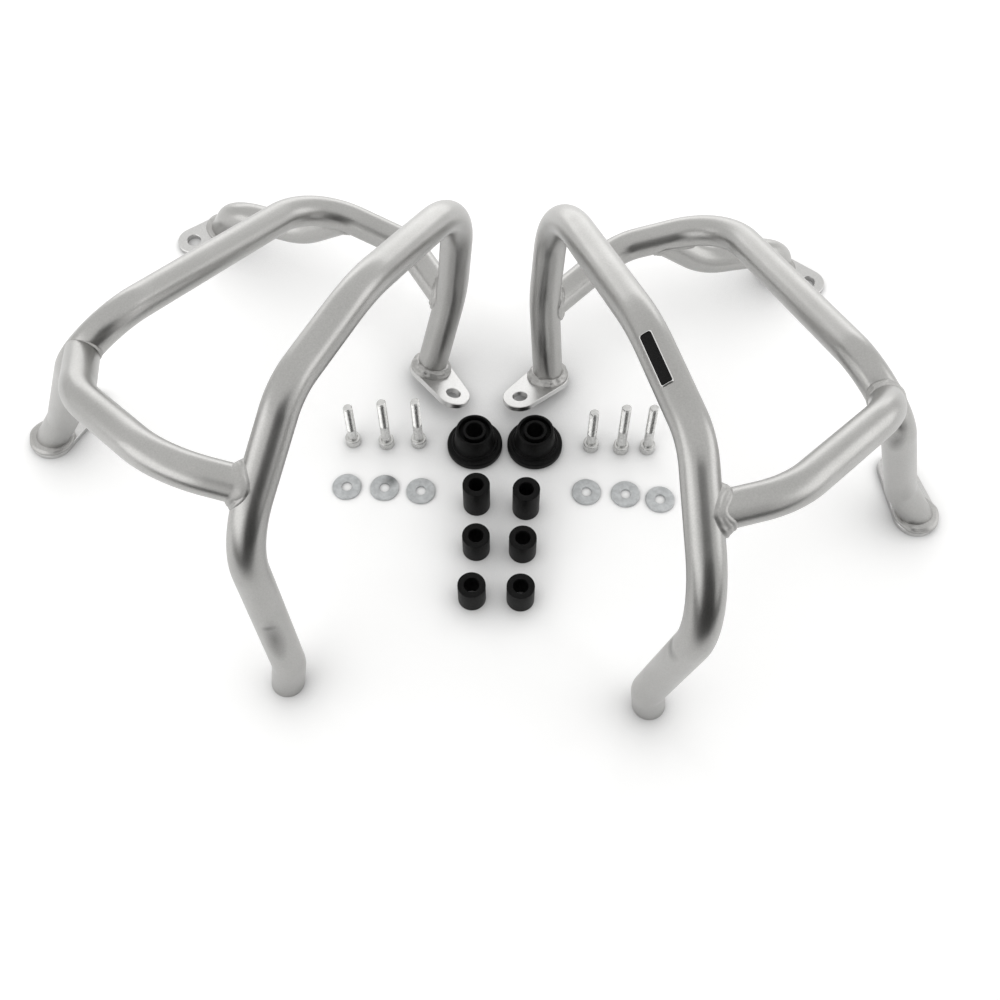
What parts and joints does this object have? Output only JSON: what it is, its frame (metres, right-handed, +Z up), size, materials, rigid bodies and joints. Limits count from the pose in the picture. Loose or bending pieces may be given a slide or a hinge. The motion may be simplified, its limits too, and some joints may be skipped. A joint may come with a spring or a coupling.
{
  "type": "motorcycle crash bars",
  "caption": "Handed welded tube guards for a motorcycle, each a bent hoop with side tube, rear tube, stay and drilled lugs, with loose cap screws, washers, spacers and bushes.",
  "frame": {"origin": "on the floor under the middle of the set's box", "axes": "+X to the right bar, +Y away from the hoops' front feet, +Z up"},
  "size_m": [0.7506, 0.5116, 0.2843],
  "materials": {
    "silver_tube": "satin silver coat with a fine grain on steel tube",
    "silver_plate": "satin silver coat on steel plate, brighter at the edges",
    "silver_weld": "satin silver coat over lumpy weld beads",
    "badge_black": "black field in a light raised rim",
    "zinc_screw": "zinc plated",
    "zinc_washer": "zinc plated, stamped",
    "black_spacer": "matte black anodised",
    "black_bush": "matte black, turned"
  },
  "bodies": {
    "root": {"left_main_hoop": "silver_tube", "left_rear_tube": "silver_tube", "left_side_tube": "silver_tube", "left_rear_stay": "silver_tube", "left_inner_lug": "silver_plate", "left_outer_lug": "silver_plate", "left_rear_lug": "silver_plate", "left_lug_welds": "silver_weld", "left_tube_welds": "silver_weld", "right_main_hoop": "silver_tube", "right_rear_tube": "silver_tube", "right_side_tube": "silver_tube", "right_rear_stay": "silver_tube", "right_inner_lug": "silver_plate", "right_outer_lug": "silver_plate", "right_rear_lug": "silver_plate", "right_lug_welds": "silver_weld", "right_tube_welds": "silver_weld", "right_badge": "badge_black", "short_screws": "zinc_screw", "long_screws": "zinc_screw", "washers": "zinc_washer", "long_spacers": "black_spacer", "short_spacers": "black_spacer", "flanged_bushes": "black_bush"}
  },
  "joints": []
}
